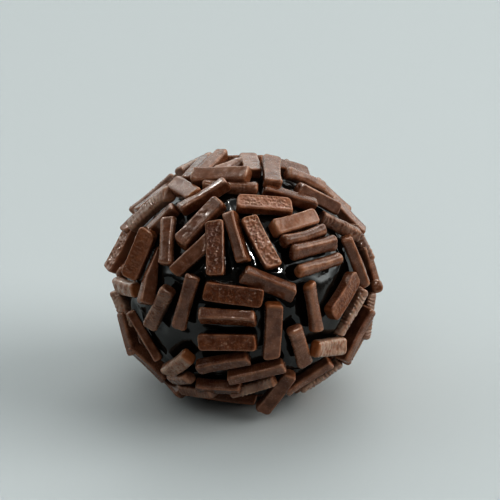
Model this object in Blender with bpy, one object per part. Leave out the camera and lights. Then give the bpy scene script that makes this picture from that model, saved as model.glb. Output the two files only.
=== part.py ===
"""A brigadeiro: one soft ball of chocolate fudge, rolled in short milk chocolate sprinkles.

The ball stands on the floor at z = 0 with +Z up, and its showing side faces -Y. The fudge is a
ball about 26.5 mm across, a little flattened where it was rolled and where it stands. The
sprinkles are flat bars, about 6 mm long, pressed into it at every angle. Ball and sprinkles are
one body. Working lengths are in millimetres, and become metres when the mesh is made.
"""

import math

import bmesh
import bpy
import numpy as np
from mathutils import Matrix, Vector

MM = 0.001

# The fudge
FUDGE_RADIUS = 13.25
MIDDLE_HEIGHT = 12.9
STANDING_SPOT = (0.0, 0.0)
FOOT_GAP = 0.3
LUMP = 0.12
FULLER_CHEEK = 0.5
PRESS_SOFTNESS = 0.5
FUDGE_DIVISIONS = 4

# One sprinkle, and how much fuller the showing side's are than the core lengths in its rows
BAR_THICKNESS = 1.35
FULLER_LENGTH = 1.03
FULLER_WIDTH = 1.08
BAR_CHAMFER = 0.3
BAR_SUNK = 0.5
EDGE_SUNK = 0.75

# The showing side is laid out as looked at from this height angle and distance, on a shell this
# far above the skin, and no sprinkle comes forward more steeply than this
SHOWING_ELEVATION = math.radians(25.0)
SHOWING_DISTANCE = 300.0
SEEN_HEIGHT = 0.35
STEEPEST = 2.0
FOLLOW = None

# The filling of the back, the sides and the underside. Each round has its number of tries, how far
# a sprinkle may overlap its neighbours, its roll off its broad face and its lift.
SEED = 7
FILL_FROM = 0.05
FILL_TURNS = 12
FILL_CHOICES = 4
FILL_ROUNDS = (
    (450, 0.15, 0, -0.2),
    (300, 0.45, 0, -0.1),
    (450, 0.5, 90, -0.2),
    (150, 0.6, 90, 0.0),
)

RIGHT = Vector((1.0, 0.0, 0.0))
TOWARD = Vector((0.0, -math.cos(SHOWING_ELEVATION), math.sin(SHOWING_ELEVATION)))
UP = TOWARD.cross(RIGHT)

# The side where the ball bulges a little
CHEEK = (0.96 * RIGHT - 0.28 * UP).normalized()

# Where the ball is pressed flatter: the way the flat faces, and its distance from the middle
PRESSED = (
    (Vector((0.0, 0.0, -1.0)), MIDDLE_HEIGHT - FOOT_GAP),
    ((-0.62 * RIGHT + 0.78 * UP).normalized(), 12.75),
    ((-0.75 * RIGHT - 0.66 * UP).normalized(), 12.95),
    ((0.03 * RIGHT + 0.97 * UP - 0.2 * TOWARD).normalized(), 12.75),
)

# Each sprinkle of the showing side, seen from the front: how far right and up of the ball's
# middle it lies, the lean of its long side from level, its roll off its broad face (90 is on
# edge), its length, its width, how far it is lifted, and how steeply its far end comes forward
# (FOLLOW lays it along the skin).
CROWN = (
    (-3.45, 12.7, 47, 10, 5.3, 1.45, 0.2, -45),
    (-5.0, 12.2, 50, 10, 5.2, 1.4, -0.1, -50),
    (-2.35, 11.45, 1, 12, 6.2, 1.9, 0.3, FOLLOW),
    (-1.3, 10.3, -4, 75, 6.0, 1.4, -0.2, FOLLOW),
    (0.95, 12.75, 105, 0, 4.6, 1.9, -0.2, FOLLOW),
    (-1.0, 12.4, 20, 40, 5.0, 1.5, -0.5, FOLLOW),
    (3.35, 12.0, 92, 0, 5.8, 1.9, 0.4, FOLLOW),
    (5.2, 12.2, -14, 30, 5.2, 1.5, -0.1, FOLLOW),
    (7.0, 11.0, -21, 30, 5.2, 1.4, 0.1, FOLLOW),
    (8.5, 9.0, -26, 60, 5.8, 1.4, 0.0, FOLLOW),
    (10.1, 9.3, -42, 30, 5.4, 1.5, -0.1, -20),
)
LEFT_BROW = (
    (-13.3, 3.6, 62, 25, 5.9, 1.9, 0.2, 10),
    (-11.2, 2.75, 67, 35, 5.7, 1.95, 0.2, FOLLOW),
    (-9.6, 6.0, 43, 80, 6.0, 1.4, -0.2, FOLLOW),
    (-10.2, 7.7, 41, 20, 5.8, 1.5, 0.1, 15),
    (-6.4, 9.95, 149, 0, 4.8, 1.9, 0.1, FOLLOW),
    (-4.3, 9.25, 31, 80, 5.9, 1.4, 0.2, FOLLOW),
    (-4.7, 6.35, 46, 0, 6.4, 1.85, 0.1, FOLLOW),
    (-8.3, 4.2, 87, 20, 5.4, 1.65, 0.0, FOLLOW),
    (-5.3, 2.75, 43, 10, 5.8, 1.6, -0.2, FOLLOW),
    (-10.1, 0.4, 77, 70, 6.2, 1.6, -0.2, -5),
    (-13.4, 2.2, 55, 30, 5.0, 1.6, -1.0, -40),
    (-9.8, 9.2, 38, 20, 5.4, 1.4, -0.2, -20),
    (-11.8, 7.2, 46, 40, 4.8, 1.4, -0.3, -10),
)
RIGHT_STACK = (
    (5.4, 9.25, -16, 80, 6.0, 1.3, 0.0, FOLLOW),
    (2.5, 8.3, -4, 0, 5.9, 1.8, 0.1, FOLLOW),
    (5.9, 6.3, 17, 0, 5.7, 1.8, 0.0, FOLLOW),
    (6.9, 4.75, 16, 80, 5.7, 1.6, 0.0, FOLLOW),
    (7.9, 3.45, 14, 40, 6.2, 1.7, 0.0, FOLLOW),
    (8.5, 1.55, 17, 50, 6.1, 1.4, 0.0, FOLLOW),
    (10.9, 5.85, -26, 60, 5.2, 1.4, -0.1, -30),
    (11.8, 7.1, -46, 20, 5.2, 1.6, 0.0, -10),
    (12.7, 1.9, 112, 20, 6.0, 1.4, 0.1, FOLLOW),
    (13.6, 4.2, 118, 20, 4.8, 1.5, 0.1, 0),
    (14.0, 1.0, 105, 60, 5.0, 1.6, 0.1, 0),
)
CENTRE = (
    (-3.0, 3.45, 91, 0, 5.9, 1.9, 0.4, FOLLOW),
    (-0.6, 4.6, 106, 65, 5.7, 1.7, 0.1, FOLLOW),
    (2.1, 4.1, 117, 0, 6.0, 1.75, 0.2, FOLLOW),
    (-6.25, -2.5, 74, 20, 6.2, 1.6, 0.2, FOLLOW),
    (-1.0, -1.7, -8, 0, 6.2, 2.0, 0.2, FOLLOW),
    (-1.6, -4.15, -3, 45, 6.0, 1.8, 0.1, FOLLOW),
    (-1.6, -6.95, -1, -25, 6.1, 1.75, 0.0, FOLLOW),
    (3.45, -5.75, 87, 0, 6.4, 1.8, 0.2, FOLLOW),
    (2.9, -0.5, -21, 40, 5.9, 1.8, 0.0, FOLLOW),
    (7.9, -3.15, 100, 20, 5.5, 1.5, 0.0, FOLLOW),
    (6.5, -7.5, 108, 0, 5.8, 1.7, 0.1, FOLLOW),
)
RIGHT_CHEEK = (
    (11.3, -1.9, 58, 0, 5.6, 1.8, 0.0, FOLLOW),
    (12.4, -3.75, 61, 90, 5.6, 1.3, -0.1, 0),
    (12.6, -6.1, 62, 70, 6.4, 1.6, 0.1, 0),
    (14.1, -4.2, 82, 45, 5.2, 1.5, 0.2, 0),
    (12.9, -7.0, 62, 30, 5.4, 1.5, 0.3, 0),
    (14.5, -1.0, 10, 20, 5.6, 1.4, 0.1, 70),
    (9.6, -7.5, 4, -25, 4.9, 1.8, 0.1, FOLLOW),
)
LEFT_CHEEK = (
    (-12.9, -0.95, -17, 10, 5.2, 1.5, 0.1, FOLLOW),
    (-13.4, -3.4, 113, 40, 4.4, 1.5, 0.0, 0),
    (-11.0, -6.4, 121, 60, 6.1, 1.0, 0.0, 0),
    (-10.6, -7.8, 122, 90, 5.6, 1.2, -0.4, 0),
    (-13.1, -6.2, 105, 30, 4.8, 1.4, 0.4, 0),
    (-10.9, -9.7, 137, 20, 5.4, 1.5, 0.5, 0),
    (-9.15, -3.15, 63, 20, 5.6, 1.6, 0.0, FOLLOW),
)
CHIN = (
    (-7.1, -9.5, 36, 10, 5.2, 1.6, 0.1, FOLLOW),
    (-2.1, -9.3, 11, 12, 5.9, 1.45, 0.0, FOLLOW),
    (1.6, -10.4, 13, 3, 6.2, 1.5, 0.0, FOLLOW),
    (1.2, -11.9, 17, 40, 5.2, 1.5, -0.2, FOLLOW),
    (3.8, -12.5, 54, -30, 6.0, 1.6, 0.2, 32),
    (7.4, -11.0, 33, 70, 6.0, 1.2, 0.0, 0),
    (9.2, -11.4, 34, -15, 5.4, 1.3, 0.2, 0),
    (-6.9, -11.1, 5, 0, 5.0, 1.45, 0.0, 65),
    (-4.9, -12.3, -5, 60, 4.8, 1.5, 0.0, FOLLOW),
    (-2.6, -12.0, -3, 10, 5.0, 1.6, 0.0, FOLLOW),
)
SHOWING_SIDE = CROWN + LEFT_BROW + RIGHT_STACK + CENTRE + RIGHT_CHEEK + LEFT_CHEEK + CHIN


def softly_least(a, b, softness):
    """The lesser of two lengths, rounded over where they are nearly the same."""
    share = max(softness - abs(a - b), 0.0) / softness
    return min(a, b) - 0.25 * softness * share * share


def skin_radius(way):
    """The distance from the ball's middle to the fudge's skin, along a unit vector."""
    lumps = math.sin(3.1 * way.x + 1.0) * math.cos(2.7 * way.y) + math.sin(4.3 * way.z + 2.0 * way.x)
    fuller = max(way.dot(CHEEK), 0.0) ** 8
    radius = FUDGE_RADIUS + LUMP * lumps + FULLER_CHEEK * fuller
    for facing, distance in PRESSED:
        share = way.dot(facing)
        if share > 0.3:
            radius = softly_least(radius, distance / share, PRESS_SOFTNESS)
    return radius


def skin_normal(way):
    """The outward normal of the fudge's skin, along a unit vector from the middle."""
    side = way.orthogonal().normalized()
    other = way.cross(side)
    step = 0.02
    along_side = (way + step * side).normalized()
    along_other = (way + step * other).normalized()
    here = way * skin_radius(way)
    first = along_side * skin_radius(along_side) - here
    second = along_other * skin_radius(along_other) - here
    return first.cross(second).normalized()


def way_seen_at(right, up, height):
    """The unit vector from the middle to the spot seen at these millimetres, this far above the skin."""
    eye = SHOWING_DISTANCE * TOWARD
    line = (right * RIGHT + up * UP - eye).normalized()
    nearest = -eye.dot(line)
    beside = eye + nearest * line
    radius = FUDGE_RADIUS + height
    for _ in range(4):
        inside = max(radius * radius - beside.length_squared, 0.0)
        way = (beside - math.sqrt(inside) * line).normalized()
        radius = skin_radius(way) + height
    return way


def bar(way, along, roll, length, width, lift=0.0, thickness=BAR_THICKNESS):
    """One sprinkle pressed into the skin: middle, axes (along, across, out of its face), sizes."""
    normal = skin_normal(way)
    across = normal.cross(along).normalized()
    turned = Matrix.Rotation(math.radians(roll), 3, along)
    across = turned @ across
    face = along.cross(across)
    upright = abs(math.sin(math.radians(roll)))
    half_height = abs(face.dot(normal)) * thickness / 2 + upright * width / 2
    sunk = BAR_SUNK + (EDGE_SUNK - BAR_SUNK) * upright
    middle = way * skin_radius(way) + (half_height - sunk + lift) * normal
    return {"middle": middle, "axes": (along, across, face), "sizes": (length, width, thickness)}


def kept_off_floor(laid):
    """The same sprinkle, raised so that no corner is below the floor."""
    reach = sum(abs(axis.z) * size / 2 for axis, size in zip(laid["axes"], laid["sizes"]))
    lowest = laid["middle"].z - reach
    laid["middle"].z += max(-MIDDLE_HEIGHT - lowest, 0.0)
    return laid


def shown_bars():
    """The sprinkles of the showing side, each laid as its row says."""
    laid = []
    for right, up, lean, roll, length, width, lift, slope in SHOWING_SIDE:
        way = way_seen_at(right, up, SEEN_HEIGHT + lift)
        normal = skin_normal(way)
        level = math.cos(math.radians(lean)) * RIGHT + math.sin(math.radians(lean)) * UP
        if slope is FOLLOW:
            depth = -level.dot(normal) / max(TOWARD.dot(normal), 0.15)
            depth = min(max(depth, -STEEPEST), STEEPEST)
        else:
            depth = math.tan(math.radians(slope))
        along = (level + depth * TOWARD).normalized()
        sides = (FULLER_LENGTH * length, FULLER_WIDTH * width)
        laid.append(kept_off_floor(bar(way, along, roll, *sides, lift)))
    return laid


def foot_bars():
    """The sprinkles the ball stands on, lying flat on the floor: one in the middle and a ring."""
    spots = [(0.0, 0.0, 20.0), (-1.0, 2.6, 24.0), (0.4, -2.7, 10.0)]
    spots += [
        (5.9 * math.cos(a), 1.1 + 5.4 * math.sin(a), math.degrees(a) + 90 + 8 * math.sin(5 * a))
        for a in (0.2, 1.35, 2.7, 3.8, 5.6)
    ]
    laid = []
    for x, y, lean in spots:
        angle = math.radians(lean)
        along = Vector((math.cos(angle), math.sin(angle), 0.0))
        down = Vector((0.0, 0.0, -1.0))
        middle = Vector((x, y, -MIDDLE_HEIGHT + BAR_THICKNESS / 2))
        axes = (along, down.cross(along), down)
        laid.append({"middle": middle, "axes": axes, "sizes": (5.4, 1.9, BAR_THICKNESS)})
    return laid


def core_line(laid):
    """The two ends of the line a sprinkle is thickest about, and half its seen width."""
    length, width, thickness = laid["sizes"]
    along, across, face = laid["axes"]
    outward = laid["middle"].normalized()
    seen = abs(face.dot(outward)) * width + abs(across.dot(outward)) * thickness
    half = max(length - seen, 0.5) / 2
    return laid["middle"] - half * along, laid["middle"] + half * along, seen / 2


def shortest_gap(ends, others):
    """The least distance between a sprinkle's edges and those of the ones already laid."""
    start, stop, half_seen = ends
    steps = np.linspace(0.0, 1.0, 7)[:, None, None]
    points = np.array(start)[None, None] * (1 - steps) + np.array(stop)[None, None] * steps
    from_ends, to_ends, halves = others
    spans = to_ends - from_ends
    share = ((points - from_ends[None]) * spans[None]).sum(2) / (spans * spans).sum(1)[None]
    nearest = from_ends[None] + np.clip(share, 0.0, 1.0)[..., None] * spans[None]
    away = np.linalg.norm(points - nearest, axis=2) - halves[None] - half_seen
    return float(away.min())


def roomiest_way(dice, others):
    """The way to the roomiest of a few random spots, or None if none of them is to be filled."""
    roomiest, most = None, -math.inf
    for _ in range(FILL_CHOICES):
        way = Vector(dice.normal(size=3)).normalized()
        if way.dot(TOWARD) > FILL_FROM or way.z < -0.93:
            continue
        spot = way * (skin_radius(way) + SEEN_HEIGHT)
        room = shortest_gap((spot, spot, 0.0), others)
        if room > most:
            roomiest, most = way, room
    return roomiest


def filling_bars(laid):
    """Sprinkles for the rest of the ball: each try goes where there is room, turned to fit best."""
    dice = np.random.default_rng(SEED)
    lines = [core_line(each) for each in laid]
    added = []
    tries = [(overlap, roll, lift) for count, overlap, roll, lift in FILL_ROUNDS for _ in range(count)]
    for overlap, roll, lift in tries:
        others = (
            np.array([line[0] for line in lines]),
            np.array([line[1] for line in lines]),
            np.array([line[2] for line in lines]),
        )
        way = roomiest_way(dice, others)
        length = float(dice.uniform(5.6, 6.6))
        width = float(dice.uniform(1.8, 2.15))
        turn = dice.uniform(0.0, math.pi)
        tilt = dice.uniform(-12.0, 12.0)
        if way is None:
            continue
        normal = skin_normal(way)
        side = normal.orthogonal().normalized()
        best, best_gap = None, -overlap
        for step in range(FILL_TURNS):
            angle = turn + math.pi * step / FILL_TURNS
            along = Matrix.Rotation(angle, 3, normal) @ side
            tried = kept_off_floor(bar(way, along, roll + tilt, length, width, lift))
            gap = shortest_gap(core_line(tried), others)
            if gap > best_gap:
                best, best_gap = tried, gap
        if best is not None:
            added.append(best)
            lines.append(core_line(best))
    return added


def all_bars():
    """Every sprinkle on the ball."""
    laid = shown_bars() + foot_bars()
    return laid + filling_bars(laid)


def add_bar(mesh, laid):
    """Adds one sprinkle to a mesh: a bar with its two outer long edges taken off."""
    length, width, thickness = laid["sizes"]
    along, across, face = laid["axes"]
    half_width, half_depth = width / 2, thickness / 2
    section = (
        (-half_width, -half_depth),
        (half_width, -half_depth),
        (half_width, half_depth - BAR_CHAMFER),
        (half_width - BAR_CHAMFER, half_depth),
        (BAR_CHAMFER - half_width, half_depth),
        (-half_width, half_depth - BAR_CHAMFER),
    )
    rings = []
    for end in (-0.5, 0.5):
        middle = laid["middle"] + end * length * along
        ring = [mesh.verts.new((middle + u * across + v * face) * MM) for u, v in section]
        rings.append(ring)
    near, far = rings
    mesh.faces.new(list(reversed(near)))
    mesh.faces.new(far)
    for i in range(len(section)):
        j = (i + 1) % len(section)
        mesh.faces.new((near[i], near[j], far[j], far[i]))


def new_object(name, mesh):
    """A linked object made from an edit mesh, with its faces turned out."""
    bmesh.ops.recalc_face_normals(mesh, faces=mesh.faces)
    data = bpy.data.meshes.new(name)
    mesh.to_mesh(data)
    mesh.free()
    made = bpy.data.objects.new(name, data)
    bpy.context.scene.collection.objects.link(made)
    return made


def fudge_ball():
    """The soft ball without its sprinkles."""
    mesh = bmesh.new()
    bmesh.ops.create_icosphere(mesh, subdivisions=FUDGE_DIVISIONS, radius=1.0)
    for vert in mesh.verts:
        way = vert.co.normalized()
        vert.co = way * skin_radius(way) * MM
    return new_object("fudge_ball", mesh)


def loose_sprinkles():
    """A collection of all the sprinkles, one small bar each."""
    sprinkles = bpy.data.collections.new("sprinkles")
    for i, laid in enumerate(all_bars()):
        mesh = bmesh.new()
        add_bar(mesh, laid)
        sprinkles.objects.link(new_object(f"sprinkle_{i:03d}", mesh))
    return sprinkles


def chocolate():
    """Milk chocolate sprinkles over dark fudge, softly shining."""
    finish = bpy.data.materials.new("chocolate")
    finish.use_nodes = True
    shader = finish.node_tree.nodes["Principled BSDF"]
    shader.inputs["Base Color"].default_value = (0.09, 0.035, 0.018, 1.0)
    shader.inputs["Roughness"].default_value = 0.4
    shader.inputs["Metallic"].default_value = 0.0
    return finish


def outer_skin(mesh):
    """Takes away the small hollows closed in between crossing sprinkles, leaving the outer skin."""
    unseen = set(mesh.faces)
    largest = set()
    while unseen:
        island = {unseen.pop()}
        border = list(island)
        while border:
            near = {other for face in border for edge in face.edges for other in edge.link_faces}
            border = list(near - island)
            island |= near
        unseen -= island
        if len(island) > len(largest):
            largest = island
    hidden = [face for face in mesh.faces if face not in largest]
    bmesh.ops.delete(mesh, geom=hidden, context="FACES")


def joined(ball, sprinkles, name):
    """One body: the ball with the sprinkles sunk in it."""
    union = ball.modifiers.new("union", "BOOLEAN")
    union.operation = "UNION"
    union.solver = "MANIFOLD"
    union.operand_type = "COLLECTION"
    union.collection = sprinkles
    mesh = bmesh.new()
    mesh.from_object(ball, bpy.context.evaluated_depsgraph_get())
    outer_skin(mesh)
    for thing in [ball, *sprinkles.objects]:
        bpy.data.objects.remove(thing)
    bpy.data.collections.remove(sprinkles)
    return new_object(name, mesh)


def main():
    """Makes the brigadeiro and stands it on the floor."""
    for thing in list(bpy.data.objects):
        bpy.data.objects.remove(thing)
    brigadeiro = joined(fudge_ball(), loose_sprinkles(), "brigadeiro")
    lift = Vector((STANDING_SPOT[0], STANDING_SPOT[1], MIDDLE_HEIGHT)) * MM
    brigadeiro.data.transform(Matrix.Translation(lift))
    brigadeiro.data.materials.clear()
    brigadeiro.data.materials.append(chocolate())


if __name__ == "__main__":
    main()
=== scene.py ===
"""A brigadeiro: one glossy ball of dark chocolate fudge, rolled in short milk chocolate sprinkles.

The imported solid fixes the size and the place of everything. The sprinkles lie here as they lie in
that solid, by the same table and the same rule, and are modelled in full: rounded edges, cut ends,
pitted broad faces and fine ridges. Lengths are in millimetres until a mesh is made, and the ball's
middle is the origin until then. The ball stands at z = 0, and its showing side faces -Y.
"""

from __future__ import annotations

import logging
import math
from dataclasses import dataclass, field
from enum import Enum
from typing import NamedTuple, Optional

import bmesh
import bpy
import numpy as np
from mathutils import Matrix, Vector, noise

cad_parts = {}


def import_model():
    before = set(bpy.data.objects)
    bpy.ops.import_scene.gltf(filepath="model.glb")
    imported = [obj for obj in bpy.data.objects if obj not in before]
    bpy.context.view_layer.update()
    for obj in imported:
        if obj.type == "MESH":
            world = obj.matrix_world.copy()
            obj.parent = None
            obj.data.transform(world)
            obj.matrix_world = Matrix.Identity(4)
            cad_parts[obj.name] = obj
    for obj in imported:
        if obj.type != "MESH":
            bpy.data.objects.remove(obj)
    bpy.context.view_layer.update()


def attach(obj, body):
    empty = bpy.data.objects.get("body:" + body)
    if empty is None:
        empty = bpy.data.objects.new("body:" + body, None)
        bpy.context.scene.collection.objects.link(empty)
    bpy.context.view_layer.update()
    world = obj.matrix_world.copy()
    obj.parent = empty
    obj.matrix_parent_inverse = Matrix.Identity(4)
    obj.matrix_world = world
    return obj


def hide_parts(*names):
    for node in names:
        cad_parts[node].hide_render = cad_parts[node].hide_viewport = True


LOG = logging.getLogger("brigadeiro")

MM = 0.001
CAD_NODE = "brigadeiro"

# A wave starts at random within about one full turn, in radians
START_TURN = 6.3

Face = tuple[int, ...]
Color = tuple[float, float, float]
CoreLine = tuple[Vector, Vector, float]
CoreLines = tuple[np.ndarray, np.ndarray, np.ndarray]

# The showing side, and the axes it is laid out along
SHOWING_ELEVATION = math.radians(25.0)
SHOWING_DISTANCE = 300.0
RIGHT = Vector((1.0, 0.0, 0.0))
TOWARD = Vector((0.0, -math.cos(SHOWING_ELEVATION), math.sin(SHOWING_ELEVATION)))
UP = TOWARD.cross(RIGHT)


class Kind(Enum):
    """The kinds of sprinkle, by how the chocolate came out of the die and was cut."""

    SMOOTH = "smooth"
    SPECKLED = "speckled"
    PITTED = "pitted"
    RIDGED = "ridged"
    ROUND = "round"


SMOOTH = Kind.SMOOTH
SPECKLED = Kind.SPECKLED
PITTED = Kind.PITTED
RIDGED = Kind.RIDGED
ROUND = Kind.ROUND
FOLLOW = None


class Row(NamedTuple):
    """Where one sprinkle of the showing side lies, seen from the front.

    Right and up are from the ball's middle; lean is from level, roll is off the broad face, lift is
    above its usual depth, and slope is how steeply the far end comes forward (FOLLOW lays it along the
    skin). Taper narrows the far end. Tone is how light its chocolate is and warmth how bare and warm its
    cut ends are, both drawn at random where none is given; on some bars a given tone also paints the
    light and grey sky sheen that fall on them. Slant is how far the far end is cut back on the side that
    shows.
    """

    right: float
    up: float
    lean: float
    roll: float
    length: float
    width: float
    lift: float
    slope: Optional[float]
    kind: Kind
    taper: float = 0.0
    tone: Optional[float] = None
    warmth: Optional[float] = None
    slant: float = 0.0


CROWN = (
    Row(-3.45, 12.7, 47, 10, 5.3, 1.45, 0.2, -45, SMOOTH),
    Row(-5.0, 12.2, 50, 10, 5.2, 1.4, -0.1, -50, SMOOTH),
    Row(-2.35, 11.45, 1, 12, 6.2, 1.9, 0.3, FOLLOW, SMOOTH),
    Row(-1.3, 10.3, -4, 75, 6.0, 1.4, -0.2, FOLLOW, ROUND),
    Row(0.95, 12.75, 105, 0, 4.6, 1.9, -0.2, FOLLOW, SMOOTH),
    Row(-1.0, 12.4, 20, 40, 5.0, 1.5, -0.5, FOLLOW, ROUND),
    Row(3.35, 12.0, 92, 0, 5.8, 1.9, 0.4, FOLLOW, SMOOTH),
    Row(5.2, 12.2, -14, 30, 5.2, 1.5, -0.1, FOLLOW, SMOOTH),
    Row(7.0, 11.0, -21, 30, 5.2, 1.4, 0.1, FOLLOW, ROUND),
    Row(8.5, 9.0, -26, 60, 5.8, 1.4, 0.0, FOLLOW, SMOOTH),
    Row(10.1, 9.3, -42, 30, 5.4, 1.5, -0.1, -20, ROUND),
)
LEFT_BROW = (
    # Bar lit from the left: its full tone paints that light
    Row(-13.3, 3.6, 62, 25, 5.9, 1.9, 0.2, 10, PITTED, 0.0, 1.0),
    Row(-11.2, 2.75, 67, 35, 5.7, 1.95, 0.2, FOLLOW, SPECKLED),
    Row(-9.6, 6.0, 43, 80, 6.0, 1.4, -0.2, FOLLOW, SMOOTH),
    Row(-10.2, 7.7, 41, 20, 5.8, 1.5, 0.1, 15, RIDGED, 0.0, 0.7, 0.35, 0.9),
    Row(-6.4, 9.95, 149, 0, 4.8, 1.9, 0.1, FOLLOW, SMOOTH, 0.0, 0.5, 0.8),
    Row(-4.3, 9.25, 31, 80, 5.9, 1.4, 0.2, FOLLOW, SMOOTH),
    Row(-4.7, 6.35, 46, 0, 6.4, 1.85, 0.1, FOLLOW, SMOOTH, 0.0, 0.2),
    Row(-8.3, 4.2, 87, 20, 5.4, 1.65, 0.0, FOLLOW, ROUND),
    Row(-5.3, 2.75, 43, 10, 5.8, 1.6, -0.2, FOLLOW, SMOOTH),
    Row(-10.1, 0.4, 77, 70, 6.2, 1.6, -0.2, -5, SMOOTH, 0.75),
    Row(-13.4, 2.2, 55, 30, 5.0, 1.6, -1.0, -40, ROUND),
    Row(-9.8, 9.2, 38, 20, 5.4, 1.4, -0.2, -20, SMOOTH),
    Row(-11.8, 7.2, 46, 40, 4.8, 1.4, -0.3, -10, SMOOTH),
)
RIGHT_STACK = (
    Row(5.4, 9.25, -16, 80, 6.0, 1.3, 0.0, FOLLOW, SMOOTH),
    Row(2.5, 8.3, -4, 0, 5.9, 1.8, 0.1, FOLLOW, SPECKLED, 0.0, 0.6),
    Row(5.9, 6.3, 17, 0, 5.7, 1.8, 0.0, FOLLOW, SMOOTH, 0.0, 0.9),
    Row(6.9, 4.75, 16, 80, 5.7, 1.6, 0.0, FOLLOW, ROUND),
    Row(7.9, 3.45, 14, 40, 6.2, 1.7, 0.0, FOLLOW, ROUND),
    Row(8.5, 1.55, 17, 50, 6.1, 1.4, 0.0, FOLLOW, ROUND, 0.0, 0.4, 0.8),
    Row(10.9, 5.85, -26, 60, 5.2, 1.4, -0.1, -30, RIDGED),
    Row(11.8, 7.1, -46, 20, 5.2, 1.6, 0.0, -10, SMOOTH),
    Row(12.7, 1.9, 112, 20, 6.0, 1.4, 0.1, FOLLOW, SMOOTH),
    Row(13.6, 4.2, 118, 20, 4.8, 1.5, 0.1, 0, RIDGED),
    Row(14.0, 1.0, 105, 60, 5.0, 1.6, 0.1, 0, SMOOTH),
)
CENTRE = (
    Row(-3.0, 3.45, 91, 0, 5.9, 1.9, 0.4, FOLLOW, SPECKLED, 0.0, 0.1),
    Row(-0.6, 4.6, 106, 65, 5.7, 1.7, 0.1, FOLLOW, SMOOTH),
    # Its full tone paints part of the bright highlights on its pits
    Row(2.1, 4.1, 117, 0, 6.0, 1.75, 0.2, FOLLOW, PITTED, 0.0, 1.0),
    Row(-6.25, -2.5, 74, 20, 6.2, 1.6, 0.2, FOLLOW, ROUND),
    Row(-1.0, -1.7, -8, 0, 6.2, 2.0, 0.2, FOLLOW, SPECKLED),
    Row(-1.6, -4.15, -3, 45, 6.0, 1.8, 0.1, FOLLOW, SMOOTH),
    Row(-1.6, -6.95, -1, -25, 6.1, 1.75, 0.0, FOLLOW, SPECKLED, 0.0, 0.2),
    Row(3.45, -5.75, 87, 0, 6.4, 1.8, 0.2, FOLLOW, SMOOTH, 0.0, 0.25, 0.7),
    Row(2.9, -0.5, -21, 40, 5.9, 1.8, 0.0, FOLLOW, SMOOTH),
    Row(7.9, -3.15, 100, 20, 5.5, 1.5, 0.0, FOLLOW, ROUND, 0.0, 0.3, 0.8),
    Row(6.5, -7.5, 108, 0, 5.8, 1.7, 0.1, FOLLOW, ROUND),
)
RIGHT_CHEEK = (
    Row(11.3, -1.9, 58, 0, 5.6, 1.8, 0.0, FOLLOW, SPECKLED),
    # Its high tone paints grey sky sheen on this bar
    Row(12.4, -3.75, 61, 90, 5.6, 1.3, -0.1, 0, RIDGED, 0.0, 0.9),
    Row(12.6, -6.1, 62, 70, 6.4, 1.6, 0.1, 0, SMOOTH),
    Row(14.1, -4.2, 82, 45, 5.2, 1.5, 0.2, 0, RIDGED),
    Row(12.9, -7.0, 62, 30, 5.4, 1.5, 0.3, 0, RIDGED),
    Row(14.5, -1.0, 10, 20, 5.6, 1.4, 0.1, 70, ROUND),
    # Its full tone paints grey sky sheen on this bar
    Row(9.6, -7.5, 4, -25, 4.9, 1.8, 0.1, FOLLOW, RIDGED, 0.0, 1.0, 1.0),
)
LEFT_CHEEK = (
    # Its full tone paints grey sky sheen on this bar
    Row(-12.9, -0.95, -17, 10, 5.2, 1.5, 0.1, FOLLOW, RIDGED, 0.0, 1.0, 0.9),
    Row(-13.4, -3.4, 113, 40, 4.4, 1.5, 0.0, 0, RIDGED, 0.0, 0.9),
    Row(-11.0, -6.4, 121, 60, 6.1, 1.0, 0.0, 0, SMOOTH),
    Row(-10.6, -7.8, 122, 90, 5.6, 1.2, -0.4, 0, SMOOTH),
    Row(-13.1, -6.2, 105, 30, 4.8, 1.4, 0.4, 0, SMOOTH),
    Row(-10.9, -9.7, 137, 20, 5.4, 1.5, 0.5, 0, SMOOTH),
    Row(-9.15, -3.15, 63, 20, 5.6, 1.6, 0.0, FOLLOW, RIDGED),
)
CHIN = (
    Row(-7.1, -9.5, 36, 10, 5.2, 1.6, 0.1, FOLLOW, RIDGED, 0.0, 0.9, 1.0),
    Row(-2.1, -9.3, 11, 12, 5.9, 1.45, 0.0, FOLLOW, SMOOTH),
    Row(1.6, -10.4, 13, 3, 6.2, 1.5, 0.0, FOLLOW, SMOOTH),
    Row(1.2, -11.9, 17, 40, 5.2, 1.5, -0.2, FOLLOW, RIDGED),
    Row(3.8, -12.5, 54, -30, 6.0, 1.6, 0.2, 32, SMOOTH),
    Row(7.4, -11.0, 33, 70, 6.0, 1.2, 0.0, 0, SMOOTH),
    Row(9.2, -11.4, 34, -15, 5.4, 1.3, 0.2, 0, RIDGED, 0.0, 0.8),
    Row(-6.9, -11.1, 5, 0, 5.0, 1.45, 0.0, 65, ROUND),
    Row(-4.9, -12.3, -5, 60, 4.8, 1.5, 0.0, FOLLOW, RIDGED),
    Row(-2.6, -12.0, -3, 10, 5.0, 1.6, 0.0, FOLLOW, SMOOTH),
)
SHOWING_SIDE = CROWN + LEFT_BROW + RIGHT_STACK + CENTRE + RIGHT_CHEEK + LEFT_CHEEK + CHIN


def smooth_step(low: float, high: float, value: np.ndarray) -> np.ndarray:
    """Rises smoothly from 0 to 1 as the values go from low to high."""
    share = np.clip((value - low) / (high - low), 0.0, 1.0)
    return share * share * (3.0 - 2.0 * share)


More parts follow.
